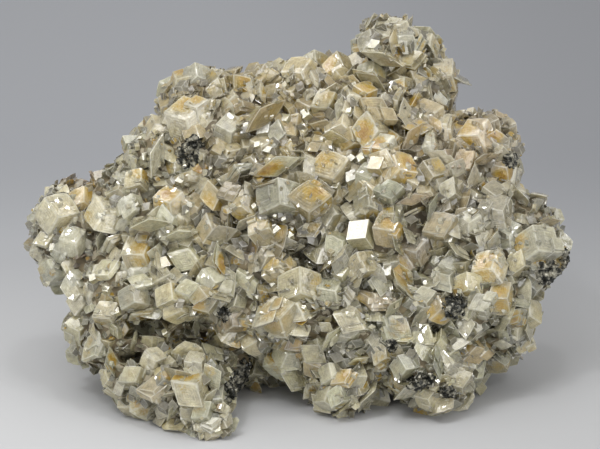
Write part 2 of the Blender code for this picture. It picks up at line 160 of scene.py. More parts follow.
# Crystals that stand out: right, up, size across, kind, turn, tint and how strong its amber heart is.
CRYSTALS = (
    # Upper left lobe and the bridge to the peak
    (-22.4, 64.0, 8.0, "corner", 12, "tan", 1.0), (-16.8, 69.6, 5.4, "face", 70, "tan", 0.7),
    (-12.2, 66.0, 5.4, "edge", 10, "tan", 0.7), (-14.2, 62.0, 5.8, "edge", 60, "pale", 0.5),
    (-7.0, 64.6, 9.0, "blade", 40, "tan", 0.3), (-4.0, 61.2, 5.0, "face", 80, "green", 0.9),
    (-7.6, 58.6, 4.4, "corner", 0, "tan", 1.0), (0.0, 73.2, 6.2, "corner", 25, "tan", 0.3),
    (4.2, 78.4, 6.2, "edge", 5, "green", 0.4), (8.0, 74.0, 6.6, "face", 80, "tan", 0.8),
    (5.2, 67.0, 5.4, "face", 30, "pale", 0.3), (7.8, 66.0, 5.0, "blade", 80, "white", 0.5),
    (-26.6, 70.4, 5.0, "edge", 50, "grey", 0.1), (-20.6, 72.6, 5.0, "corner", 70, "grey", 0.3),
    (-28.8, 56.8, 8.4, "blade", 75, "white", 0.0), (-6.8, 61.8, 3.8, "face", 45, "white", 0.0),
    (-29.4, 63.6, 5.0, "face", 15, "pale", 0.3), (-9.4, 70.8, 5.4, "edge", 120, "grey", 0.2),
    # Peak and shoulder
    (14.2, 72.8, 5.4, "corner", 50, "green", 0.6), (16.8, 76.6, 8.0, "blade", -20, "white", 0.2),
    (18.8, 80.0, 5.8, "blade", 88, "tan", 0.2), (26.0, 79.0, 5.0, "corner", 40, "grey", 0.2),
    (29.4, 73.0, 6.0, "edge", 95, "tan", 0.6), (19.6, 67.8, 5.0, "edge", 75, "tan", 0.5),
    (25.4, 64.4, 6.6, "corner", 5, "tan", 0.2), (22.6, 76.0, 5.4, "face", 20, "tan", 0.3),
    (28.6, 68.0, 5.0, "face", 100, "grey", 0.3), (14.4, 79.4, 5.0, "edge", 130, "grey", 0.2),
    (23.4, 71.4, 5.6, "edge", 20, "tan", 0.4), (10.6, 79.2, 4.6, "face", 60, "grey", 0.2),
    # Upper middle
    (10.6, 60.0, 5.4, "edge", 15, "tan", 0.4), (9.0, 56.6, 4.8, "corner", 35, "tan", 0.8),
    (14.2, 61.8, 7.0, "face", 85, "tan", 1.0), (22.2, 60.2, 6.6, "blade", 55, "pink", 0.3),
    (16.4, 58.0, 5.8, "corner", 20, "green", 0.9), (13.6, 52.4, 5.0, "edge", 70, "green", 0.1),
    (19.6, 54.0, 6.2, "corner", 80, "tan", 0.8), (26.0, 53.2, 5.8, "edge", 35, "tan", 0.9),
    (33.0, 55.0, 5.6, "face", 40, "pink", 0.3), (18.0, 49.2, 5.2, "face", 10, "green", 0.1),
    (22.8, 48.2, 6.4, "blade", 15, "pink", 0.0), (26.4, 58.4, 5.6, "edge", 100, "green", 0.1),
    (29.4, 61.6, 6.0, "edge", 85, "tan", 0.2), (35.6, 60.8, 6.4, "corner", 30, "pink", 0.7),
    (36.8, 56.4, 5.4, "blade", 20, "pink", 0.1), (30.0, 49.6, 5.4, "face", 65, "grey", 0.1),
    (35.2, 49.0, 5.6, "edge", 150, "grey", 0.1),
    # Middle, with the two large rhombs
    (-4.0, 54.6, 9.6, "blade", 22, "pale", 0.9), (5.8, 53.4, 8.2, "face", 17, "tan", 0.8),
    (1.6, 47.2, 8.6, "face", 2, "tan", 1.0), (-4.0, 48.2, 8.0, "edge", 5, "green", 0.0),
    (-11.8, 53.4, 5.4, "edge", 30, "grey", 0.2), (-11.2, 47.0, 5.4, "corner", 45, "tan", 0.9),
    (-16.6, 49.0, 5.8, "face", 100, "tan", 0.7), (13.8, 47.0, 5.8, "corner", 65, "green", 0.4),
    (17.8, 42.2, 6.6, "edge", 80, "tan", 0.7), (28.0, 42.4, 6.8, "face", 25, "tan", 0.1),
    (33.6, 43.6, 4.6, "corner", 0, "grey", 0.0), (26.2, 46.8, 4.8, "blade", 70, "green", 0.7),
    (6.8, 44.6, 5.4, "edge", 140, "green", 0.1), (23.0, 38.0, 5.8, "corner", 20, "pink", 0.1),
    (-7.4, 42.0, 6.0, "edge", 110, "tan", 0.3), (7.6, 39.2, 5.4, "face", 120, "pale", 0.1),
    (31.6, 37.6, 5.4, "blade", 140, "grey", 0.1),
    # Left middle and left lobe
    (-32.6, 51.6, 5.0, "face", 50, "pale", 1.0), (-22.0, 51.8, 7.6, "edge", 0, "tan", 0.4),
    (-26.0, 47.4, 5.6, "corner", 10, "tan", 0.9), (-21.0, 46.6, 4.8, "edge", 60, "tan", 0.6),
    (-48.6, 45.2, 7.2, "edge", 35, "white", 0.1), (-43.6, 47.6, 5.2, "corner", 55, "tan", 0.6),
    (-51.0, 40.0, 6.2, "face", 15, "white", 0.0), (-45.4, 39.6, 5.4, "edge", 75, "white", 0.0),
    (-38.8, 45.0, 7.0, "edge", 150, "pale", 0.7), (-33.4, 46.4, 5.0, "face", 75, "white", 0.1),
    (-29.8, 43.2, 7.4, "blade", 8, "pale", 0.0), (-24.2, 41.2, 7.0, "blade", 12, "pale", 0.2),
    (-32.0, 37.2, 6.8, "edge", 88, "tan", 0.7), (-27.6, 34.8, 7.0, "blade", 115, "white", 0.6),
    (-22.4, 37.2, 6.8, "face", 160, "pale", 0.0), (-39.0, 33.8, 5.8, "corner", 25, "pale", 0.9),
    (-49.0, 33.6, 6.0, "edge", 20, "pale", 0.5), (-44.6, 30.8, 5.6, "face", 95, "white", 0.1),
    (-17.4, 42.0, 5.4, "corner", 85, "tan", 0.4), (-37.0, 39.4, 5.2, "edge", 40, "pale", 0.2),
    (-51.4, 46.2, 4.8, "corner", 5, "white", 0.0),
    # Lower left, round the hollow
    (-43.6, 27.6, 5.4, "face", 85, "white", 0.1), (-44.4, 22.0, 5.4, "edge", 65, "pale", 0.6),
    (-38.4, 25.2, 5.4, "face", 30, "tan", 0.9), (-35.4, 22.4, 5.2, "face", 88, "tan", 0.9),
    (-37.4, 15.6, 5.6, "blade", 100, "white", 0.7), (-29.2, 16.0, 4.6, "edge", 45, "pale", 0.1),
    (-28.6, 10.4, 6.2, "corner", 15, "tan", 0.3), (-20.8, 15.2, 4.8, "edge", 80, "green", 0.6),
    (-21.6, 10.4, 7.2, "face", 140, "pale", 1.0), (-33.0, 28.4, 5.6, "edge", 10, "grey", 0.1),
    (-26.0, 28.8, 5.4, "face", 60, "pale", 0.2), (-41.0, 18.6, 5.2, "corner", 50, "pale", 0.3),
    (-25.2, 6.6, 4.6, "blade", 60, "pale", 0.1), (-16.4, 8.4, 4.8, "edge", 95, "grey", 0.1),
    (-33.2, 12.6, 5.0, "face", 35, "pale", 0.2), (-19.0, 5.6, 4.8, "face", 40, "pale", 0.4),
    (-21.4, 6.4, 4.6, "edge", 80, "pale", 0.1), (-17.6, 3.4, 3.8, "corner", 10, "grey", 0.1),
    (-19.2, 1.8, 3.4, "face", 60, "pale", 0.2), (-17.6, 1.4, 3.0, "edge", 20, "tan", 0.5),
    (-19.6, 3.0, 3.6, "edge", 140, "pale", 0.2), (-18.4, 8.6, 4.8, "blade", 50, "pale", 0.2),
    # Lower middle
    (-15.8, 36.2, 8.4, "blade", 100, "pale", 0.8), (-17.8, 31.8, 5.2, "edge", 40, "pale", 0.3),
    (-10.4, 31.8, 5.4, "face", 110, "pale", 0.1), (-4.2, 34.2, 6.0, "corner", 50, "tan", 0.8),
    (0.0, 30.4, 8.0, "edge", 3, "pale", 0.9), (6.2, 29.8, 6.0, "edge", 80, "green", 0.0),
    (-18.6, 26.8, 5.0, "face", 20, "tan", 0.8), (-13.2, 23.8, 6.0, "edge", 15, "pink", 0.1),
    (-4.0, 24.8, 6.8, "corner", 15, "tan", 0.3), (-3.6, 15.6, 6.4, "corner", 40, "pale", 0.7),
    (-0.4, 19.8, 4.8, "face", 40, "pink", 0.6), (6.4, 20.8, 6.4, "blade", 50, "pale", 0.1),
    (10.2, 24.8, 6.6, "face", 155, "white", 0.0), (8.4, 12.4, 5.0, "corner", 30, "tan", 0.5),
    (8.0, 8.8, 5.0, "face", 70, "pale", 0.6), (12.2, 34.8, 6.0, "edge", 25, "tan", 0.1),
    (15.4, 28.4, 7.2, "edge", 170, "pink", 0.6), (20.4, 30.8, 6.4, "blade", 125, "green", 0.4),
    (18.6, 26.6, 5.0, "blade", 50, "green", 0.3), (21.4, 34.6, 6.2, "face", 88, "pink", 0.7),
    (24.8, 28.2, 4.8, "face", 15, "grey", 0.0), (7.8, 33.2, 4.6, "face", 50, "pale", 0.4),
    (-9.0, 20.0, 5.4, "edge", 120, "pale", 0.2), (3.4, 15.0, 5.2, "edge", 65, "tan", 0.4),
    # Right lobe and lower right
    (47.2, 38.8, 8.2, "edge", 15, "green", 0.6), (49.4, 43.4, 5.2, "blade", 10, "pink", 0.3),
    (37.8, 34.4, 6.2, "corner", 40, "tan", 0.8), (44.0, 35.4, 5.2, "face", 70, "pale", 0.1),
    (36.4, 26.8, 5.2, "face", 25, "white", 0.0), (40.2, 28.4, 6.0, "edge", 88, "tan", 0.8),
    (28.0, 26.4, 5.4, "corner", 75, "tan", 0.8), (27.4, 15.4, 5.6, "blade", 95, "green", 0.1),
    (21.0, 14.8, 5.2, "edge", 30, "pale", 0.1), (21.8, 10.2, 6.2, "blade", 30, "pale", 0.1),
    (34.4, 18.4, 6.0, "edge", 135, "tan", 0.7), (40.0, 16.2, 5.8, "edge", 90, "tan", 0.7),
    (16.6, 17.2, 5.0, "face", 65, "tan", 0.6), (31.8, 11.6, 5.4, "face", 20, "pale", 0.1),
    (45.6, 25.0, 5.4, "corner", 60, "green", 0.1), (46.4, 30.6, 5.2, "edge", 50, "grey", 0.1),
    (41.6, 41.0, 5.2, "corner", 10, "grey", 0.0), (50.6, 34.6, 5.2, "face", 80, "tan", 0.5),
    (38.6, 48.8, 5.2, "edge", 55, "grey", 0.1), (42.0, 52.0, 5.0, "face", 45, "grey", 0.1),
    (33.4, 30.8, 5.4, "edge", 5, "pale", 0.4), (44.6, 20.2, 5.0, "edge", 115, "pale", 0.2),
    (25.6, 8.6, 4.6, "corner", 20, "pale", 0.1), (29.0, 32.4, 5.6, "face", 130, "grey", 0.1),
)

# Faces that catch the window: right, up, size across, turn, how far they stand out, and tint.
MIRRORS = (
    (12.2, 41.0, 6.0, 45, 1.6, "pale"), (15.4, 54.6, 4.0, 35, 1.6, "tan"),
    (10.6, 52.4, 3.2, 60, 0.8, "grey"), (-6.8, 61.8, 3.6, 45, 1.2, "grey"),
    (8.2, 33.2, 3.6, 20, 1.2, "pale"), (17.4, 33.4, 4.2, 50, 1.0, "grey"),
    (29.8, 40.0, 3.2, 30, 1.2, "grey"), (-22.4, 4.8, 2.8, 45, 1.4, "white"),
    (-27.0, 35.6, 3.4, 160, 2.0, "tan"), (41.4, 30.2, 2.4, 20, 0.8, "white"),
    (-5.0, 41.8, 2.6, 0, 0.8, "white"), (8.2, 73.4, 3.4, 75, 1.6, "tan"),
    (-22.4, 39.2, 3.6, 20, 1.0, "pale"), (-30.0, 31.2, 2.4, 50, 0.6, "white"),
    (35.0, 12.4, 2.6, 30, 0.6, "white"), (14.2, 8.2, 2.6, 10, 0.6, "white"),
    (2.4, 18.8, 2.6, 40, 0.6, "pale"), (35.4, 52.4, 2.6, 20, 0.8, "white"),
)
# More small faces that catch it, at random places.
SPARK_COUNT = 110

# Dark granular sulphide: right, up, then its half sizes, its turn and how far it stands out.
SULPHIDE = (
    (49.8, 33.4, 2.4, 2.2, 0, 0.6), (53.6, 35.8, 1.0, 2.4, 0, 0.2), (30.8, 26.8, 2.1, 2.0, 0, 1.6),
    (24.4, 11.8, 2.6, 1.5, 10, 0.4), (-12.4, 12.0, 1.5, 4.2, -25, 0.2), (-22.4, 57.0, 2.0, 2.2, 0, -0.4),
    (18.2, 19.0, 1.0, 1.2, 0, 0.4), (-15.2, 25.2, 1.1, 1.2, 0, 0.4), (42.4, 56.0, 1.3, 1.5, 0, 0.3),
    (-21.0, 59.4, 1.6, 1.3, 0, -0.2), (29.4, 9.6, 1.6, 1.1, 0, 0.2),
)
# Further in than this, a place is behind them.
SULPHIDE_DEPTH = -24

# Iron-stained places: right, up, reach, strength.
RUST = (
    (-43.6, 53.2, 4.0, 1.0), (-47.8, 52.2, 2.4, 0.7), (-44.0, 36.0, 2.6, 0.8), (-17.4, 6.8, 2.2, 0.5),
    (-9.4, 38.4, 2.6, 0.6), (31.0, 55.4, 2.2, 0.6), (-23.6, 58.8, 1.6, 0.8), (28.0, 8.0, 1.8, 0.4),
)

# Colour of the crystals by place on the face: right, up, reach and tint. The deep zones are painted shade
# over the recessed middle.
ZONES = (
    (-47.0, 41.0, 12.0, "white"), (-40.0, 22.0, 12.0, "pale"), (-28.0, 55.0, 8.0, "pale"),
    (-19.0, 66.0, 9.0, "tan"), (-22.0, 42.0, 10.0, "pale"), (0.0, 50.0, 16.0, "tan"),
    (12.0, 66.0, 14.0, "tan"), (22.0, 78.0, 9.0, "grey"), (30.0, 56.0, 12.0, "pink"),
    (42.0, 44.0, 12.0, "grey"), (20.0, 44.0, 10.0, "green"), (40.0, 24.0, 12.0, "green"),
    (24.0, 14.0, 10.0, "pale"), (0.0, 24.0, 14.0, "pale"), (-24.0, 10.0, 9.0, "pale"),
    # The two deep zones on the next line are painted shade over the recessed middle
    (12.0, 32.0, 10.0, "green"), (1.0, 39.0, 11.0, "deep"), (-12.0, 44.0, 9.0, "deep"),
)

# Pieces of the crust, from left to right, by where each ends; the back, further in than this depth, is a
# piece of its own.
PARTS = {"left": -22.0, "middle_left": 0.0, "middle_right": 20.0, "right": 80.0, "back": 0.0}
BACK_DEPTH = -26
# How far out a line of sight starts, and how deep the middle of the mass lies.
WELL_AHEAD = 60
MIDDLE_DEPTH = -20
# Crystals grow in patches on the broken back: what counts as back, how wide the patches are, and where
# the pattern is bare.
BACK_FACING = -0.35
PATCH_SIZE = 11 * MM
BARE_BELOW = -0.04
DRUSE_FACING = -0.3

# Sizes across in millimetres: the least, the most, and the one that is met most often.
CRUST_SIZES = (2.8, 7.8, 4.7)
SMALL_SIZES = (1.4, 3.6, 2.1)
DRUSE_SIZES = (0.5, 1.7, 0.8)
SPARK_SIZES = (0.7, 3.0, 1.0)
GRAIN_SIZES = (0.4, 1.4, 0.6)

# How crystals grew, each as often as it is named.
STYLES = ("plain", "stepped", "cluster", "cluster", "cluster", "fan")

# Kind: how far the axis leans from the viewer, its turn on that axis, and how flat it is along the axis.
KINDS = {
    "corner": (6.0, 0.0, 0.62),
    "edge": (EDGE_LEAN, 180.0, 0.7),
    "face": (FACE_LEAN - 6.0, 0.0, 0.74),
    "blade": (FACE_LEAN + 40.0, 0.0, 0.5),
    "mirror": (FACE_LEAN, 0.0, 1.0),
}


def face_frame():
    """Takes millimetres on the face (right, up, out) to metres in the part's own frame."""
    sine, cosine = math.sin(LEAN_BACK), math.cos(LEAN_BACK)
    axes = Matrix(((1, 0, 0), (0, sine, -cosine), (0, cosine, sine))).to_4x4()
    shift = Matrix.Translation((FACE_SHIFT_X * MM, FACE_SHIFT_Y * MM, 0))
    return shift @ axes @ Matrix.Scale(MM, 4) @ Matrix.Translation((0, 0, -LOWER_EDGE_OUT))


FACE = face_frame()
OUT = (FACE.to_3x3() @ Vector((0, 0, 1))).normalized()
UP = (FACE.to_3x3() @ Vector((0, 1, 0))).normalized()
RIGHT = Vector((1, 0, 0))
INTO_FACE = FACE.inverted()
TO_KEY_LIGHT = (OUT * 0.72 + UP * 0.6 - RIGHT * 0.3).normalized()
KEY_DISTANCE = 0.7
KEY_PLACE = NODE_MIDDLE + TO_KEY_LIGHT * KEY_DISTANCE
EYE_DISTANCE = 1.2
SHOWN_WIDTH = 0.120
EYE_AIM = FACE @ Vector((0, 43.1, -8))
EYE = EYE_AIM + OUT * EYE_DISTANCE


def linear(hex_colour):
    """An sRGB hex colour as linear red, green and blue."""
    channels = (int(hex_colour[i : i + 2], 16) / 255 for i in (1, 3, 5))
    return tuple(c / 12.92 if c <= 0.04045 else ((c + 0.055) / 1.055) ** 2.4 for c in channels)


def rgba(colour):
    """A colour with the full alpha that colour sockets ask for."""
    return (*colour, 1.0)


TINTS = {
    "white": linear("#d9d3b3"),
    "pale": linear("#cfc79d"),
    "tan": linear("#beab74"),
    "green": linear("#b3ae88"),
    # Painted shade: a dark tint for the zones over the recessed middle
    "deep": linear("#4a4028"),
    "grey": linear("#b8b292"),
    "pink": linear("#c2ad84"),
}
MILKY = linear("#e5dec2")


class StoneSettings(bpy.types.PropertyGroup):
    """Sizes and colours of the specimen that a user would change."""

    grain: FloatProperty(
        name="Mass grain", description="Grain at which the ore's lumps are grown together",
        default=0.9 * MM, min=0.0004, unit="LENGTH",
    )
    crust_spacing: FloatProperty(
        name="Crystal spacing", description="Least distance between the crystals of the crust",
        default=2.6 * MM, min=0.001, unit="LENGTH",
    )
    crust_count: IntProperty(name="Crystals", description="Crystals in the crust", default=1900, min=0)
    small_spacing: FloatProperty(
        name="Small spacing", description="Least distance between small crystals",
        default=1.5 * MM, min=0.0005, unit="LENGTH",
    )
    small_count: IntProperty(
        name="Small crystals", description="Small crystals between the rest", default=4500, min=0
    )
    druse_count: IntProperty(
        name="Druse", description="Tiny crystals on the larger ones", default=2200, min=0
    )
    amber: FloatVectorProperty(
        name="Amber", description="Colour of the crystals' hearts", subtype="COLOR", size=3,
        default=linear("#cfae3c"), min=0, max=1,
    )
    sulphide: FloatVectorProperty(
        name="Sulphide", description="Colour of the dark granular patches", subtype="COLOR", size=3,
        default=linear("#2b2c28"), min=0, max=1,
    )


class StudioSettings(bpy.types.PropertyGroup):
    """The plain studio."""

    floor: FloatVectorProperty(
        name="Floor", description="Colour of the paper", subtype="COLOR", size=3,
        default=linear("#c0c1c3"), min=0, max=1,
    )
    behind: FloatVectorProperty(
        name="Behind", description="Colour of the paper where less light reaches it", subtype="COLOR", size=3,
        default=linear("#97999e"), min=0, max=1,
    )
    key_watts: FloatProperty(
        name="Key light", description="Power of the key light", default=1.85, unit="POWER"
    )
    sky: FloatProperty(name="Sky", description="Strength of the even light", default=0.68, min=0)


def node(tree, kind, links=None, **settings):
    """Adds one shader node: settings go to its properties, links to its sockets by name or number.

    A link is a value, another node's socket, or another node, which stands for its first output.
    """
    made = tree.nodes.new(kind)
    for key, value in settings.items():
        setattr(made, key, value)
    for key, value in (links or {}).items():
        socket = made.inputs[key]
        if isinstance(value, bpy.types.Node):
            value = value.outputs[0]
        if isinstance(value, bpy.types.NodeSocket):
            tree.links.new(value, socket)
        else:
            socket.default_value = value
    return made


def new_material(name):
    """An empty material, and the node function bound to its tree."""
    material = bpy.data.materials.new(name)
    material.use_nodes = True
    material.node_tree.nodes.clear()
    return material, functools.partial(node, material.node_tree)


def add_object(name, bm, materials=()):
    """Turns a bmesh into an object of the scene."""
    mesh = bpy.data.meshes.new(name)
    bm.to_mesh(mesh)
    bm.free()
    thing = bpy.data.objects.new(name, mesh)
    bpy.context.scene.collection.objects.link(thing)
    for material in materials:
        mesh.materials.append(material)
    return thing


def shaped(thing):
    """The mesh of an object with its modifiers applied, as a bmesh; the object is removed."""
    depsgraph = bpy.context.evaluated_depsgraph_get()
    depsgraph.update()
    mesh = bpy.data.meshes.new_from_object(thing.evaluated_get(depsgraph))
    bm = bmesh.new()
    bm.from_mesh(mesh)
    bpy.data.meshes.remove(mesh)
    bpy.data.objects.remove(thing)
    return bm


def add_copy(bm, mesh, matrix):
    """Adds a moved copy of a mesh to a bmesh."""
    copy = mesh.copy()
    copy.transform(matrix)
    bm.from_mesh(copy)
    bpy.data.meshes.remove(copy)


def ellipsoids(rows, fineness):
    """Overlapping ellipsoids from rows of places and half sizes on the face."""
    bm = bmesh.new()
    for right, up, out, half_right, half_up, half_out in rows:
        place = Matrix.Translation((right, up, out)) @ Matrix.Diagonal((half_right, half_up, half_out, 1))
        bmesh.ops.create_icosphere(bm, subdivisions=fineness, radius=1, matrix=FACE @ place)
    bmesh.ops.recalc_face_normals(bm, faces=bm.faces)
    return bm


def grow_together(thing, grain):
    """Makes one skin of shells that overlap."""
    step = thing.modifiers.new("grow together", "REMESH")
    step.mode = "VOXEL"
    step.voxel_size = grain


def make_mass(grain):
    """The ore under the crystals: its lumps grown together, roughened and hollowed."""
    mass = add_object("mass", ellipsoids(LUMPS, 3))
    grow_together(mass, grain)
    bm = shaped(mass)
    roughen(bm)
    mass = add_object("mass", bm)
    hollows = add_object("hollows", ellipsoids(HOLLOWS, 3))
    cut = mass.modifiers.new("hollow out", "BOOLEAN")
    cut.operation = "DIFFERENCE"
    cut.object = hollows
    cut.solver = "MANIFOLD"
    grow_together(mass, grain)
    bm = shaped(mass)
    bpy.data.objects.remove(hollows)
    return bm


def roughen(bm):
    """Gives the ore low swells all over, and steps like broken blocks at its back."""
    for vert in bm.verts:
        spot = vert.co / (7.0 * MM)
        swell = noise.noise(spot) + 0.5 * noise.noise(spot * 2.3)
        block = noise.noise(noise.voronoi(vert.co / (13.0 * MM))[1][0] * 3.7)
        backward = max(0.0, -vert.normal.dot(OUT))
        vert.co += vert.normal * (swell * 0.9 + backward * block * 9.0) * MM


def rhombohedron(flat):
    """A unit cube made a rhombohedron of edge 1, its axis along Z, and flattened further along it."""
    on_corner = Vector((1, 1, 1)).rotation_difference(Vector((0, 0, 1))).to_matrix().to_4x4()
    shape = Matrix.Diagonal((1, 1, AXIS_FLATTENING * flat, 1)) @ on_corner
    edge = (shape.to_3x3() @ Vector((1, 0, 0))).length
    thin_face = shape.to_3x3() @ Vector((0, 0, 1))
    square_on = Matrix.Rotation(math.pi / 2 - math.atan2(thin_face.y, thin_face.x), 4, "Z")
    return square_on @ Matrix.Scale(1 / edge, 4) @ shape


def crystal_matrix(place, aim, size, kind, turn, flatness=None):
    """Sets one crystal at place, with its named side towards aim and turned as the eye sees it."""
    lean, spin, flat = KINDS[kind]
    flat = flatness or flat
    across = UP.cross(aim).normalized()
    basis = Matrix((across, aim.cross(across), aim)).transposed().to_4x4()
    pose = (
        Matrix.Rotation(math.radians(turn), 4, "Z")
        @ Matrix.Rotation(math.radians(lean), 4, "X")
        @ Matrix.Rotation(math.radians(spin), 4, "Z")
    )
    edge = size * MM / SHOWN_PER_EDGE
    return Matrix.Translation(place) @ basis @ pose @ Matrix.Scale(edge, 4) @ rhombohedron(flat)


def add_marks(bm):
    """Keeps each corner's place in the unit crystal, and makes room for the crystal's own marks."""
    growth = bm.loops.layers.float_vector.new("growth")
    for face in bm.faces:
        for loop in face.loops:
            loop[growth] = loop.vert.co
    for name in COLOUR_MARKS:
        bm.faces.layers.float_vector.new(name)
    for name in NUMBER_MARKS:
        bm.faces.layers.float.new(name)


def crystal_form(rng, bulge, terraces, satellites, layers=0, spread=0.0):
    """One crystal in a unit cube: growth terraces on its faces, worn edges, slightly curved sides.

    Satellites are smaller crystals that grew parallel to it and break its outline into steps. Layers
    split it into plates that spread like a fan.
    """
    bm = bmesh.new()
    bmesh.ops.create_cube(bm, size=1.0)
    bmesh.ops.subdivide_edges(bm, edges=bm.edges[:], cuts=1, use_grid_fill=True)
    rims = [edge for edge in bm.edges if edge.calc_face_angle(0) > 1.0]
    bmesh.ops.bevel(
        bm, geom=rims, offset=rng.uniform(0.01, 0.025), offset_type="OFFSET", segments=1, profile=0.5,
        affect="EDGES", material=-1, clamp_overlap=True,
    )
    sides = [[face for face in bm.faces if face.normal.dot(axis) > 0.999] for axis in AXES]
    for axis, side in zip(AXES, sides):
        for _ in range(rng.randint(0, terraces)):
            bmesh.ops.inset_region(
                bm, faces=side, thickness=rng.uniform(0.04, 0.13), depth=rng.uniform(0.008, 0.026),
                use_even_offset=True,
            )
            slide = Vector([rng.uniform(-1, 1) for _ in range(3)]) * 0.035
            slide -= axis * slide.dot(axis)
            bmesh.ops.translate(bm, verts=list({vert for face in side for vert in face.verts}), vec=slide)
    add_marks(bm)
    for vert in bm.verts:
        vert.co *= 1 + bulge * (0.75 - vert.co.length_squared)
    mesh = bpy.data.meshes.new("crystal form")
    bm.to_mesh(mesh)
    if layers:
        bm.clear()
    for layer in range(layers):
        wide = rng.uniform(0.68, 1.12)
        thick = rng.uniform(0.15, 0.28)
        step = layer - (layers - 1) / 2
        slide = Vector((rng.gauss(0, 0.08), rng.gauss(0, 0.08), step * 0.16 + rng.gauss(0, 0.02)))
        fan = Matrix.Rotation(step * spread + rng.gauss(0, 0.05), 4, "X")
        fan = fan @ Matrix.Rotation(rng.gauss(0, 0.1), 4, "Z")
        add_copy(bm, mesh, Matrix.Translation(slide) @ fan @ Matrix.Diagonal((wide, wide, thick, 1)))
    for _ in range(satellites):
        corner = Vector([rng.choice((-0.5, 0.5)) for _ in range(3)])
        loose = Vector([rng.uniform(-0.25, 0.25) for _ in range(3)])
        scale = rng.uniform(0.3, 0.62)
        tilt = Matrix.Rotation(rng.gauss(0, 0.05), 4, "X") @ Matrix.Rotation(rng.gauss(0, 0.05), 4, "Y")
        place = corner * (1.0 - scale * rng.uniform(0.75, 1.0)) + loose * (1.0 - scale)
        add_copy(bm, mesh, Matrix.Translation(place) @ tilt @ Matrix.Scale(scale, 4))
    bm.to_mesh(mesh)
    bm.free()
    return mesh


def make_forms():
    """A few dozen crystals that are then set many times each."""
    rng = random.Random(41)
    forms = {"plain": [], "stepped": [], "cluster": [], "fan": [], "small": [],
             "flat": [crystal_form(rng, 0.0, 0, 0)], "grain": [small_form(rng, False)]}
    for _ in range(10):
        forms["plain"].append(crystal_form(rng, rng.uniform(0.05, 0.32), 1, 0))
        forms["stepped"].append(crystal_form(rng, rng.uniform(0.08, 0.4), 3, 1))
        forms["cluster"].append(crystal_form(rng, rng.uniform(0.05, 0.34), 1, rng.randint(2, 5)))
        forms["fan"].append(
            crystal_form(rng, rng.uniform(0.05, 0.3), 0, 0, rng.randint(2, 5), rng.uniform(0.1, 0.26))
        )
        forms["small"].append(small_form(rng))
    return forms


def small_form(rng, worn=True):
    """A plain rhomb for the small crystals, with few faces; the tiniest are not worn."""
    bm = bmesh.new()
    bmesh.ops.create_cube(bm, size=1.0)
    if worn:
        bmesh.ops.bevel(
            bm, geom=bm.edges[:], offset=rng.uniform(0.03, 0.06), offset_type="OFFSET", segments=1,
            profile=0.5, affect="EDGES", material=-1, clamp_overlap=True,
        )
    add_marks(bm)
    mesh = bpy.data.meshes.new("small crystal form")
    bm.to_mesh(mesh)
    bm.free()
    return mesh


def on_face(spot):
    """A point in the part's frame as right, up, out in millimetres."""
    return INTO_FACE @ spot


def zone_tint(place):
    """The crystals' colour at a place, drawn from the zones near it; where the deep zones lie, that colour is
    painted shade.
    """
    total, mixed = 1e-6, Vector((0, 0, 0))
    for right, up, reach, tint in ZONES:
        away = ((place.x - right) ** 2 + (place.y - up) ** 2) / reach**2
        weight = math.exp(-away)
        total += weight
        mixed += Vector(TINTS[tint]) * weight
    return mixed / total


def rust_at(place):
    """How strongly iron stains the crystals at a place."""
    return max(
        strength * max(0.0, 1.2 - math.hypot(place.x - right, place.y - up) / reach)
        for right, up, reach, strength in RUST
    )


def in_sulphide(place, room):
    """Whether a place is on a sulphide patch, or nearer to one than a margin."""
    return any(
        abs(place.x - right) < half_right + room and abs(place.y - up) < half_up + room
        for right, up, half_right, half_up, _, _ in SULPHIDE
    ) and place.z > SULPHIDE_DEPTH


def set_crystal(bm, form, matrix, tint, heart, amber, rust, polish=0.0):
    """Adds one crystal to the crust, with its colour and heart marked on its faces."""
    mesh = form.copy()
    mesh.transform(matrix)
    corners = [matrix @ Vector(corner) for corner in UNIT_CORNERS]
    nudge = Vector((0, 0, 0))
    for axis in range(3):
        over = max(corner[axis] for corner in corners) - NODE_HIGH[axis] - BOX_SLACK
        slack = FRONT_SLACK if axis == 1 else BOX_SLACK
        under = NODE_LOW[axis] - slack - min(corner[axis] for corner in corners)
        if over > 0:
            nudge[axis] = -over
        elif under > 0 and axis < 2:
            nudge[axis] = under
    mesh.transform(Matrix.Translation(nudge))
    count = len(mesh.polygons)
    for name, colour in zip(COLOUR_MARKS, (tint, heart)):
        mesh.attributes[name].data.foreach_set("vector", list(colour) * count)
    for name, number in zip(NUMBER_MARKS, (amber, rust, polish)):
        mesh.attributes[name].data.foreach_set("value", [number] * count)
    bm.from_mesh(mesh)
    bpy.data.meshes.remove(mesh)


def druse(place):
    """How much smaller crystals are where the crust is a druse: at the left and along the rims."""
    left = 1 / (1 + math.exp((place.x + 33) / 4))
    right = 1 / (1 + math.exp((40 - place.x) / 4))
    return 1 - 0.36 * left - 0.25 * right


def random_heart(rng):
    """Where a crystal's amber heart lies in its unit form."""
    return Vector([rng.uniform(-0.28, 0.28) for _ in range(3)])


def off_course(rng, normal, spread):
    """A direction near the normal, off it at random."""
    return (normal + Vector([rng.gauss(0, spread) for _ in range(3)])).normalized()


def vary(rng, tint):
    """The same tint a little lighter or darker, a little warmer or cooler, and now and then milky."""
    value = rng.uniform(0.72, 1.14)
    warm = rng.uniform(-0.07, 0.07)
    body = Vector((tint[0] * (1 + warm), tint[1], tint[2] * (1 - warm * 1.6))) * value
    return body.lerp(Vector(MILKY), rng.random() ** 2.2 * 0.7)


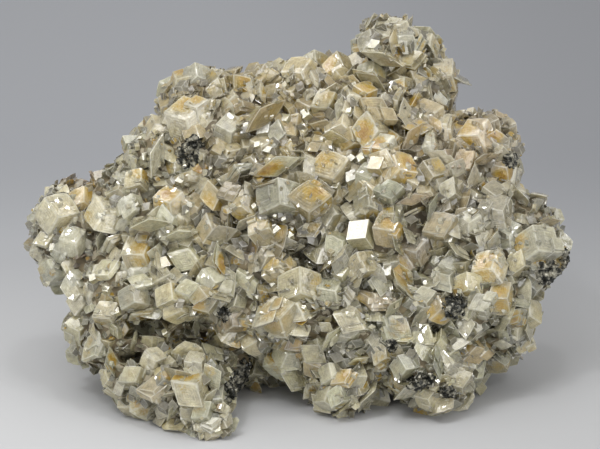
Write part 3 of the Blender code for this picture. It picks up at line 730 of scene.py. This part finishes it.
class Room:
    """Keeps crystals a given distance apart, by squares of a grid."""

    def __init__(self, cell):
        self.cell = cell
        self.squares = {}

    def key(self, spot):
        """The square that a spot is in."""
        return tuple(int(math.floor(c / self.cell)) for c in spot)

    def add(self, spot):
        self.squares.setdefault(self.key(spot), []).append(spot.copy())

    def free(self, spot, distance):
        """Whether nothing stands nearer to a spot than a distance."""
        x, y, z = self.key(spot)
        for i in (-1, 0, 1):
            for j in (-1, 0, 1):
                for k in (-1, 0, 1):
                    for other in self.squares.get((x + i, y + j, z + k), ()):
                        if (other - spot).length < distance:
                            return False
        return True


def seat(ground, right, up, lift):
    """Where the eye first meets the ground at a place on the face, or the ground nearest to it."""
    hit, normal, _, _ = ground.ray_cast(FACE @ Vector((right, up, WELL_AHEAD)), -OUT)
    if hit is None:
        hit, normal, _, _ = ground.find_nearest(FACE @ Vector((right, up, MIDDLE_DEPTH)))
    return hit + OUT * lift * MM, normal


def part_at(parts, place):
    """The piece of the crust that a place on the face belongs to."""
    if place.z < BACK_DEPTH:
        return parts["back"]
    for name, edge in PARTS.items():
        if place.x < edge:
            return parts[name]
    return parts["right"]


def grow_chosen(parts, ground, forms, room):
    """Sets the crystals of the table, and the flat faces that catch the window."""
    rng = random.Random(5)
    for right, up, size, kind, turn, tint, amber in CRYSTALS:
        spot, normal = seat(ground, right, up, size * 0.14)
        room.add(spot)
        aim = (OUT + normal * 0.35).normalized()
        style = rng.choice(STYLES)
        matrix = crystal_matrix(spot, aim, size, kind, turn)
        heart = random_heart(rng)
        bm = part_at(parts, on_face(spot))
        set_crystal(bm, rng.choice(forms[style]), matrix, vary(rng, TINTS[tint]), heart, amber, 0.0)
    sparks = [
        (
            rng.gauss(0, 24), rng.gauss(42, 17), rng.triangular(*SPARK_SIZES), rng.uniform(0, 90),
            rng.uniform(0.4, 1.6), "pale",
        )
        for _ in range(SPARK_COUNT)
    ]
    for right, up, size, turn, lift, tint in [*MIRRORS, *sparks]:
        spot, _ = seat(ground, right, up, lift)
        half_way = ((EYE - spot).normalized() + (KEY_PLACE - spot).normalized()).normalized()
        matrix = crystal_matrix(spot, half_way, size, "mirror", turn)
        bm = part_at(parts, on_face(spot))
        polish = rng.uniform(0.75, 1.0)
        set_crystal(bm, forms["flat"][0], matrix, TINTS[tint], (0, 0, 0), 0.1, 0.0, polish)


def scatter(surface, rng, count, spacing, room):
    """Yields places on the mass that are a spacing apart, with the surface's normal there."""
    faces = list(surface.faces)
    weights = [face.calc_area() for face in faces]
    found = 0
    for face in rng.choices(faces, weights, k=count * 14):
        spot = face.calc_center_median()
        back = face.normal.dot(OUT) < BACK_FACING
        if back and noise.noise(spot / PATCH_SIZE) < BARE_BELOW:
            continue
        if spot.z < LOWEST_SEAT or not room.free(spot, spacing * (1.2 if back else 1.0)):
            continue
        if in_sulphide(on_face(spot), 0.4):
            continue
        room.add(spot)
        found += 1
        yield spot, face.normal.copy(), back
        if found == count:
            return


def grow_crust(parts, surface, forms, room, count, spacing):
    """Covers the ore with rhombs of many sizes, which keep clear of the ones that are there."""
    rng = random.Random(27)
    for spot, normal, back in scatter(surface, rng, count, spacing, room):
        place = on_face(spot)
        size = rng.triangular(*CRUST_SIZES) * druse(place) * (0.8 if back else 1.0)
        kind = rng.choice(("corner", "edge", "edge", "face", "blade", "blade"))
        flatness = rng.choice(FLATNESS)
        turn = rng.uniform(0, 360)
        aim = off_course(rng, normal, 0.35)
        lift = size * rng.uniform(-0.22, 0.08) - (1.4 if back else 0.0)
        matrix = crystal_matrix(spot + normal * lift * MM, aim, size, kind, turn, flatness)
        style = rng.choice(STYLES)
        middle = math.exp(-((place.x - 2) / 38) ** 2)
        amber = rng.random() ** 1.4 if rng.random() < 0.22 + 0.36 * middle else 0.0
        tint = vary(rng, zone_tint(place))
        bm = part_at(parts, place)
        set_crystal(bm, rng.choice(forms[style]), matrix, tint, random_heart(rng), amber, rust_at(place))


def grow_small(parts, surface, forms, room, count, spacing):
    """Fills the gaps with small rhombs, with painted shade on them, because little light gets down to them.
    """
    rng = random.Random(58)
    for spot, normal, back in scatter(surface, rng, count, spacing, room):
        place = on_face(spot)
        size = rng.triangular(*SMALL_SIZES) * druse(place)
        kind = rng.choice(("corner", "edge", "face", "blade"))
        aim = off_course(rng, normal, 0.6)
        lift = size * rng.uniform(0.0, 0.35)
        turn, flatness = rng.uniform(0, 360), rng.choice(FLATNESS)
        matrix = crystal_matrix(spot + normal * lift * MM, aim, size, kind, turn, flatness)
        amber = rng.random() if rng.random() < 0.2 else 0.0
        # Painted shade: the tint is darkened for the gaps these crystals fill
        tint = vary(rng, zone_tint(place)) * 0.42
        bm = part_at(parts, place)
        set_crystal(bm, rng.choice(forms["small"]), matrix, tint, random_heart(rng), amber, rust_at(place))


def grow_druse(parts, ground, forms, count):
    """Dusts the crystals with tiny ones, at places that can be seen from outside."""
    rng = random.Random(83)
    reach = (NODE_HIGH - NODE_LOW) / 2
    for _ in range(count):
        outward = Vector((rng.gauss(0, 1), rng.gauss(0, 1), abs(rng.gauss(0, 1)) - 0.4)).normalized()
        aimed = Vector([rng.uniform(-0.9, 0.9) * half for half in reach])
        spot, normal, _, _ = ground.ray_cast(NODE_MIDDLE + aimed + outward * 0.2, -outward)
        if spot is None or spot.z < LOWEST_DRUSE or normal.dot(OUT) < DRUSE_FACING:
            continue
        place = on_face(spot)
        on_glint = any(math.hypot(place.x - row[0], place.y - row[1]) < row[2] * 0.7 for row in MIRRORS)
        if on_glint or in_sulphide(place, 0.0):
            continue
        size = rng.triangular(*DRUSE_SIZES)
        aim = off_course(rng, normal, 0.5)
        kind, turn = rng.choice(("corner", "edge", "face")), rng.uniform(0, 360)
        matrix = crystal_matrix(spot, aim, size, kind, turn, rng.choice(FLATNESS))
        tint = vary(rng, zone_tint(place) * rng.uniform(0.95, 1.2))
        amber = rng.random() * 0.8 if rng.random() < 0.15 else 0.0
        bm = part_at(parts, place)
        set_crystal(bm, forms["grain"][0], matrix, tint, random_heart(rng), amber, rust_at(place))


def stand_in(thing):
    """Lets a piece stand for the CAD solid."""
    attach(thing, "root")
    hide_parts(NODE)


def finish_piece(thing, sharp):
    """Shades a piece, keeps its edges sharp past an angle, and lets it stand for the CAD solid."""
    thing.data.shade_smooth()
    thing.data.set_sharp_from_angle(angle=math.radians(sharp))
    stand_in(thing)


def floor_cut(bm):
    """Cuts a piece off flat where it stands, and closes it there."""
    everything = bm.verts[:] + bm.edges[:] + bm.faces[:]
    cut = bmesh.ops.bisect_plane(
        bm, geom=everything, plane_co=(0, 0, CUT_HEIGHT), plane_no=(0, 0, -1), clear_outer=True
    )
    rims = [item for item in cut["geom_cut"] if isinstance(item, bmesh.types.BMEdge)]
    bmesh.ops.edgeloop_fill(bm, edges=rims)


def drop_buried(bm, ground):
    """Removes the faces that lie wholly inside the ore, where no one sees them."""
    buried = set()
    for vert in bm.verts:
        near, normal, _, _ = ground.find_nearest(vert.co)
        if (vert.co - near).dot(normal) < -BURIED:
            buried.add(vert)
    hidden = [face for face in bm.faces if all(vert in buried for vert in face.verts)]
    bmesh.ops.delete(bm, geom=hidden, context="FACES")


def crystal_material(stone):
    """Cadmian smithsonite, grown from solution: translucent, glassy on flat faces and pearly on worn ones.

    To the eye that is a soft glow with amber hearts, thin pale edges and fine lines parallel to the edges;
    the pale edges are a painted highlight.
    """
    material, add = new_material("cadmian_smithsonite")
    tint, heart, growth = (
        add("ShaderNodeAttribute", attribute_name=name).outputs["Vector"]
        for name in (*COLOUR_MARKS, "growth")
    )
    amber, rust, polish = (
        add("ShaderNodeAttribute", attribute_name=name).outputs["Fac"] for name in NUMBER_MARKS
    )
    place = add("ShaderNodeTexCoord").outputs["Object"]

    # How near a point is to its crystal's nearest edge: the middle one of its three distances from the middle
    size = add("ShaderNodeVectorMath", {0: growth}, operation="ABSOLUTE")
    x, y, z = add("ShaderNodeSeparateXYZ", {0: size}).outputs
    xy_low = add("ShaderNodeMath", {0: x, 1: y}, operation="MINIMUM")
    xy_high = add("ShaderNodeMath", {0: x, 1: y}, operation="MAXIMUM")
    top_two = add("ShaderNodeMath", {0: xy_high, 1: z}, operation="MINIMUM")
    to_edge = add("ShaderNodeMath", {0: xy_low, 1: top_two}, operation="MAXIMUM")
    edge = add("ShaderNodeMapRange", {"Value": to_edge, "From Min": 0.3, "From Max": 0.5})

    # Clouds under a millimetre across, blotches of 4 mm, and streaks along the crystal's own axes
    cloud = add(
        "ShaderNodeTexNoise", {"Vector": place, "Scale": 1300.0, "Detail": 5.0, "Roughness": 0.8}
    ).outputs["Fac"]
    blotch = add(
        "ShaderNodeTexNoise", {"Vector": place, "Scale": 260.0, "Detail": 3.0, "Roughness": 0.6}
    ).outputs["Fac"]
    along = add("ShaderNodeVectorMath", {0: growth, 1: (3.0, 5.0, 14.0)}, operation="MULTIPLY")
    streak = add(
        "ShaderNodeTexNoise", {"Vector": along, "Scale": 1.0, "Detail": 3.0, "Roughness": 0.6}
    ).outputs["Fac"]
    # The amber heart, ragged at its rim and deeper in its middle
    away = add("ShaderNodeVectorMath", {0: growth, 1: heart}, operation="DISTANCE").outputs["Value"]
    ragged = add("ShaderNodeMath", {0: cloud, 1: 0.7, 2: away}, operation="MULTIPLY_ADD")
    core = add("ShaderNodeMapRange", {"Value": ragged, "From Min": 1.0, "From Max": 0.74, "To Max": 1.3})
    core = add("ShaderNodeMath", {0: core, 1: amber}, operation="MULTIPLY")
    core = add("ShaderNodeMath", {0: core, 1: 1.0}, operation="MINIMUM")
    inner = add("ShaderNodeMapRange", {"Value": ragged, "From Min": 0.86, "From Max": 0.6, "To Max": 1.0})
    inner = add("ShaderNodeMath", {0: inner, 1: amber}, operation="MULTIPLY")

    # Growth lines a tenth of the crystal apart, coarser than real so that they show, and the milky veil
    wavy = add("ShaderNodeMath", {0: blotch, 1: 0.16, 2: to_edge}, operation="MULTIPLY_ADD")
    lines = add("ShaderNodeMath", {0: wavy, 1: 62.0}, operation="MULTIPLY")
    lines = add("ShaderNodeMath", {0: lines}, operation="SINE")
    grain = add("ShaderNodeMath", {0: streak, 1: 0.6, 2: blotch}, operation="MULTIPLY_ADD")
    grain = add("ShaderNodeMath", {0: cloud, 1: 0.9, 2: grain}, operation="MULTIPLY_ADD")
    grain = add("ShaderNodeMath", {0: lines, 1: 0.04, 2: grain}, operation="MULTIPLY_ADD")
    veil = add(
        "ShaderNodeMapRange",
        {"Value": grain, "From Min": 0.9, "From Max": 1.6, "To Min": 0.5, "To Max": 1.34},
    )
    body = add("ShaderNodeVectorMath", {0: tint, "Scale": veil}, operation="SCALE")
    with_core = add(
        "ShaderNodeMix", {"Factor": core, "A": body, "B": rgba(stone.amber)}, data_type="RGBA"
    ).outputs[2]
    with_core = add(
        "ShaderNodeMix", {"Factor": inner, "A": with_core, "B": rgba(linear("#a87a18"))},
        data_type="RGBA",
    ).outputs[2]
    # Painted highlight: the crystals' edges are lightened towards near white, for light passing through thin
    # edges and catching on them
    painted_edge_highlight = add("ShaderNodeMath", {0: edge, 1: 5.0}, operation="POWER")
    painted_edge_highlight = add("ShaderNodeMath", {0: painted_edge_highlight, 1: 0.7}, operation="MULTIPLY")
    with_edge_highlight = add(
        "ShaderNodeMix", {"Factor": painted_edge_highlight, "A": with_core, "B": rgba(linear("#efebd8"))},
        data_type="RGBA",
    ).outputs[2]
    stained = add("ShaderNodeMath", {0: rust, 1: cloud}, operation="MULTIPLY")
    stained = add(
        "ShaderNodeMapRange", {"Value": stained, "From Min": 0.1, "From Max": 0.55, "To Max": 0.85}
    )
    colour = add(
        "ShaderNodeMix", {"Factor": stained, "A": with_edge_highlight, "B": rgba(linear("#7c3f1c"))},
        data_type="RGBA",
    ).outputs[2]

    # Relief of lines and clouds, over a mosaic of 0.7 mm facets that tilt a little, as grown faces do
    relief = add("ShaderNodeMath", {0: lines, 1: 0.34, 2: cloud}, operation="MULTIPLY_ADD")
    relief = add("ShaderNodeMath", {0: relief, 1: streak}, operation="ADD")
    bump = add("ShaderNodeBump", {"Height": relief, "Strength": 0.5, "Distance": 0.00015})
    mosaic = add("ShaderNodeTexVoronoi", {"Vector": place, "Scale": 1500.0}).outputs["Color"]
    uneven = add("ShaderNodeMath", {0: polish, 1: -0.4, 2: 0.42}, operation="MULTIPLY_ADD")
    tilt = add("ShaderNodeVectorMath", {0: mosaic, 1: (-0.5, -0.5, -0.5)}, operation="ADD")
    tilt = add("ShaderNodeVectorMath", {0: tilt, "Scale": uneven}, operation="SCALE")
    tilted = add("ShaderNodeVectorMath", {0: bump, 1: tilt}, operation="ADD")
    facets = add("ShaderNodeVectorMath", {0: tilted}, operation="NORMALIZE")
    # The skin's own gloss breaks up on coarser facets of 1.4 mm
    true_normal = add("ShaderNodeNewGeometry").outputs["Normal"]
    coarse = add("ShaderNodeTexVoronoi", {"Vector": place, "Scale": 700.0}).outputs["Color"]
    coarse = add("ShaderNodeVectorMath", {0: coarse, 1: (-0.5, -0.5, -0.5)}, operation="ADD")
    step = add("ShaderNodeMath", {0: uneven, 1: 0.4}, operation="MULTIPLY")
    coarse = add("ShaderNodeVectorMath", {0: coarse, "Scale": step}, operation="SCALE")
    coarse = add("ShaderNodeVectorMath", {0: true_normal, 1: coarse}, operation="ADD")
    coat_normal = add("ShaderNodeVectorMath", {0: coarse}, operation="NORMALIZE")
    shader = add(
        "ShaderNodeBsdfPrincipled",
        {
            "Base Color": colour, "Normal": facets, "Roughness": 0.14, "IOR": 1.75,
            "Subsurface Weight": 0.35, "Subsurface Radius": (1.0, 0.95, 0.75), "Subsurface Scale": 0.9 * MM,
            "Transmission Weight": 0.3, "Coat Weight": 1.0, "Coat IOR": 1.75, "Coat Roughness": 0.05,
            "Coat Normal": coat_normal,
        },
    )
    add("ShaderNodeOutputMaterial", {"Surface": shader})
    return material


def ore_material():
    """Weathered zinc ore, broken: dull brown-grey rock with pale carbonate grains, seen only in gaps."""
    material, add = new_material("zinc_ore")
    place = add("ShaderNodeTexCoord").outputs["Object"]
    # Blotches of 6 mm and grains of about 1 mm
    blotch = add("ShaderNodeTexNoise", {"Vector": place, "Scale": 180.0, "Detail": 6.0}).outputs["Fac"]
    grains = add("ShaderNodeTexVoronoi", {"Vector": place, "Scale": 900.0}).outputs["Color"]
    grain_value = add("ShaderNodeSeparateXYZ", {0: grains})
    ramp = add("ShaderNodeMapRange", {"Value": blotch, "From Min": 0.35, "From Max": 0.65})
    base = add(
        "ShaderNodeMix",
        {"Factor": ramp, "A": rgba(linear("#4a4130")), "B": rgba(linear("#85785b"))}, data_type="RGBA",
    ).outputs[2]
    fleck = add("ShaderNodeMapRange", {"Value": grain_value, "From Min": 0.7, "From Max": 0.75})
    fleck = add("ShaderNodeMath", {0: fleck, 1: 0.5}, operation="MULTIPLY")
    colour = add(
        "ShaderNodeMix", {"Factor": fleck, "A": base, "B": rgba(linear("#cfc6ae"))}, data_type="RGBA"
    ).outputs[2]
    bump = add("ShaderNodeBump", {"Height": grain_value, "Strength": 0.7, "Distance": 0.0004})
    shader = add("ShaderNodeBsdfPrincipled", {"Base Color": colour, "Roughness": 0.6, "Normal": bump})
    add("ShaderNodeOutputMaterial", {"Surface": shader})
    return material


def sulphide_material(stone):
    """Granular zinc and lead sulphide: near black, with a resinous to metallic glint on each grain."""
    material, add = new_material("granular_sulphide")
    place = add("ShaderNodeTexCoord").outputs["Object"]
    # Specks of carbonate of about 1 mm between the sulphide's grains
    blotch = add("ShaderNodeTexNoise", {"Vector": place, "Scale": 900.0, "Detail": 3.0}).outputs["Fac"]
    speck = add("ShaderNodeMapRange", {"Value": blotch, "From Min": 0.46, "From Max": 0.66})
    colour = add(
        "ShaderNodeMix",
        {"Factor": speck, "A": rgba(stone.sulphide), "B": rgba(linear("#b4b0a0"))}, data_type="RGBA",
    ).outputs[2]
    shader = add("ShaderNodeBsdfPrincipled", {"Base Color": colour, "Roughness": 0.22, "Metallic": 0.5})
    add("ShaderNodeOutputMaterial", {"Surface": shader})
    return material


class SPECIMEN_OT_grow_cluster(bpy.types.Operator):
    """Grow the ore mass and the smithsonite crystals over it"""

    bl_idname = "specimen.grow_cluster"
    bl_label = "Grow cluster"

    def execute(self, context):
        stone = context.scene.stone
        surface = make_mass(stone.grain)
        ground = BVHTree.FromBMesh(surface)
        forms = make_forms()
        crystal = crystal_material(stone)
        room = Room(4 * MM)
        parts = {name: bmesh.new() for name in PARTS}
        grow_chosen(parts, ground, forms, room)
        grow_crust(parts, surface, forms, room, stone.crust_count, stone.crust_spacing)
        grow_small(parts, surface, forms, room, stone.small_count, stone.small_spacing)
        crust = bmesh.new()
        for bm in parts.values():
            drop_buried(bm, ground)
            sheet = bpy.data.meshes.new("crust")
            bm.to_mesh(sheet)
            crust.from_mesh(sheet)
            bpy.data.meshes.remove(sheet)
        grow_druse(parts, BVHTree.FromBMesh(crust), forms, stone.druse_count)
        crust.free()
        for name, bm in parts.items():
            floor_cut(bm)
            finish_piece(add_object(f"crystals_{name}", bm, (crystal,)), 24)
        floor_cut(surface)
        mass = add_object("ore_mass", surface, (ore_material(),))
        finish_piece(mass, 50)
        return {"FINISHED"}


class SPECIMEN_OT_grow_sulphide(bpy.types.Operator):
    """Grow the dark granular sulphide patches"""

    bl_idname = "specimen.grow_sulphide"
    bl_label = "Grow sulphide"

    def execute(self, context):
        stone = context.scene.stone
        crust = bmesh.new()
        for name in ("ore_mass", *(f"crystals_{name}" for name in PARTS)):
            crust.from_mesh(bpy.data.objects[name].data)
        ground = BVHTree.FromBMesh(crust)
        rng = random.Random(9)
        # Without a seed of its own, noise_vector differs from run to run
        noise.seed_set(9)
        bm = bmesh.new()
        bmesh.ops.create_icosphere(bm, subdivisions=1, radius=0.5)
        template = bpy.data.meshes.new("grain")
        bm.to_mesh(template)
        bm.clear()
        for right, up, half_right, half_up, turn, lift in SULPHIDE:
            for _ in range(int(60 * half_right * half_up) + 20):
                angle, reach = rng.uniform(0, 2 * math.pi), rng.random() ** 0.6 * rng.uniform(0.7, 1.25)
                offset = Matrix.Rotation(math.radians(turn), 2) @ Vector(
                    (math.cos(angle) * reach * half_right, math.sin(angle) * reach * half_up)
                )
                dome = lift * max(0.0, 1 - reach * reach)
                spot, _ = seat(ground, right + offset.x, up + offset.y, dome)
                size = rng.triangular(*GRAIN_SIZES) * MM
                spin = Matrix.Rotation(rng.uniform(0, 6.3), 4, Vector((rng.random(), rng.random(), 1)))
                add_copy(bm, template, Matrix.Translation(spot) @ spin @ Matrix.Scale(size, 4))
        bpy.data.meshes.remove(template)
        for vert in bm.verts:
            vert.co += noise.noise_vector(vert.co * 1900) * 0.00022
        floor_cut(bm)
        crust.free()
        grains = add_object("sulphide_grains", bm, (sulphide_material(stone),))
        grains.data.shade_flat()
        stand_in(grains)
        return {"FINISHED"}


class SPECIMEN_OT_set_studio(bpy.types.Operator):
    """Set the floor, the lights and the camera"""

    bl_idname = "specimen.set_studio"
    bl_label = "Set studio"

    def execute(self, context):
        studio = context.scene.studio
        self.floor(studio)
        self.lights(context, studio)
        self.camera(context)
        return {"FINISHED"}

    def floor(self, studio):
        """A wide flat sheet, so that the specimen can be seen from every side."""
        bm = bmesh.new()
        bmesh.ops.create_grid(bm, x_segments=1, y_segments=1, size=4.0)
        sheet = add_object("floor", bm, (self.paper(studio),))

    def paper(self, studio):
        """Matt photographic paper, slightly cool grey, with painted shade: darker further back and towards
        the right.
        """
        material, add = new_material("matt_paper")
        place = add("ShaderNodeTexCoord").outputs["Object"]
        # Painted shade: the paper turns to the behind colour further back
        across_back = add("ShaderNodeVectorMath", {0: place, 1: (0.0, 1.0, 0.0)}, operation="DOT_PRODUCT")
        shade = add(
            "ShaderNodeMapRange",
            {"Value": across_back.outputs["Value"], "From Min": -0.02, "From Max": 0.13},
            interpolation_type="SMOOTHSTEP",
        )
        colour = add(
            "ShaderNodeMix", {"Factor": shade, "A": rgba(studio.floor), "B": rgba(studio.behind)},
            data_type="RGBA",
        ).outputs[2]
        # Painted shade: the paper darkens by a fifth towards the right
        x = add("ShaderNodeSeparateXYZ", {0: place})
        dimming = add(
            "ShaderNodeMapRange",
            {"Value": x, "From Min": -0.03, "From Max": 0.08, "To Min": 1.0, "To Max": 0.8},
            interpolation_type="SMOOTHSTEP",
        )
        colour = add("ShaderNodeVectorMath", {0: colour, "Scale": dimming}, operation="SCALE")
        shader = add(
            "ShaderNodeBsdfPrincipled",
            {"Base Color": colour, "Roughness": 0.85, "Specular IOR Level": 0.2},
        )
        add("ShaderNodeOutputMaterial", {"Surface": shader})
        return material

    def lights(self, context, studio):
        """A window with a lamp in it, a fill, three small lamps for the glints and a soft overhead."""
        # Name, direction, distance, size across, and power as a share of the key light's
        lamps = (
            ("window", TO_KEY_LIGHT, KEY_DISTANCE, 0.45, 0.82),
            ("lamp", TO_KEY_LIGHT, KEY_DISTANCE, 0.07, 0.35),
            ("fill", OUT + RIGHT * 0.9, KEY_DISTANCE, 0.5, 0.65),
            ("lamp right", OUT * 0.8 + UP * 0.5 + RIGHT * 0.55, KEY_DISTANCE, 0.09, 0.24),
            ("lamp high", OUT * 0.8 + UP * 1.1 + RIGHT * 0.1, KEY_DISTANCE, 0.09, 0.24),
            ("lamp low", OUT * 0.8 - UP * 0.1 - RIGHT * 0.7, KEY_DISTANCE, 0.09, 0.24),
            ("overhead", Vector((0.1, 0.1, 1)), 0.9, 1.2, 0.8),
        )
        for name, direction, distance, size, share in lamps:
            direction = direction.normalized()
            data = bpy.data.lights.new(name, "AREA")
            data.shape = "DISK"
            data.size = size
            data.energy = studio.key_watts * share
            lamp = bpy.data.objects.new(name, data)
            lamp.location = NODE_MIDDLE + direction * distance
            lamp.rotation_euler = (-direction).to_track_quat("-Z", "Y").to_euler()
            context.scene.collection.objects.link(lamp)
        world = bpy.data.worlds.new("studio")
        context.scene.world = world
        world.use_nodes = True
        background = world.node_tree.nodes["Background"]
        background.inputs["Color"].default_value = rgba(linear("#f3f2ef"))
        background.inputs["Strength"].default_value = studio.sky

    def camera(self, context):
        """Looks square at the face, from far enough away that it hardly foreshortens."""
        data = bpy.data.cameras.new("camera")
        camera = bpy.data.objects.new("camera", data)
        context.scene.collection.objects.link(camera)
        data.sensor_width = 36
        data.lens = data.sensor_width * EYE_DISTANCE / SHOWN_WIDTH
        camera.location = EYE
        camera.rotation_euler = (-OUT).to_track_quat("-Z", "Y").to_euler()
        context.scene.camera = camera
        context.scene.view_settings.view_transform = "Standard"


class SPECIMEN_PT_panel(bpy.types.Panel):
    """Lists the specimen's settings and steps"""

    bl_idname = "SPECIMEN_PT_panel"
    bl_label = "Smithsonite specimen"
    bl_space_type = "VIEW_3D"
    bl_region_type = "UI"
    bl_category = "Specimen"

    def draw(self, context):
        for group in (context.scene.stone, context.scene.studio):
            for name in group.__annotations__:
                self.layout.prop(group, name)
        for operator in OPERATORS:
            self.layout.operator(operator.bl_idname)


OPERATORS = (SPECIMEN_OT_grow_cluster, SPECIMEN_OT_grow_sulphide, SPECIMEN_OT_set_studio)
CLASSES = (StoneSettings, StudioSettings, *OPERATORS, SPECIMEN_PT_panel)


def register():
    for item in CLASSES:
        bpy.utils.register_class(item)
    bpy.types.Scene.stone = PointerProperty(type=StoneSettings)
    bpy.types.Scene.studio = PointerProperty(type=StudioSettings)


def unregister():
    del bpy.types.Scene.stone
    del bpy.types.Scene.studio
    for item in reversed(CLASSES):
        bpy.utils.unregister_class(item)


def main_step(operator):
    """Runs one operator and stops the script if it didn't finish."""
    if operator() != {"FINISHED"}:
        raise RuntimeError(f"{operator} did not finish")


def main():
    """Builds the specimen and its studio."""
    register()
    main_step(bpy.ops.specimen.grow_cluster)
    main_step(bpy.ops.specimen.grow_sulphide)
    main_step(bpy.ops.specimen.set_studio)


if __name__ == "__main__":
    main()
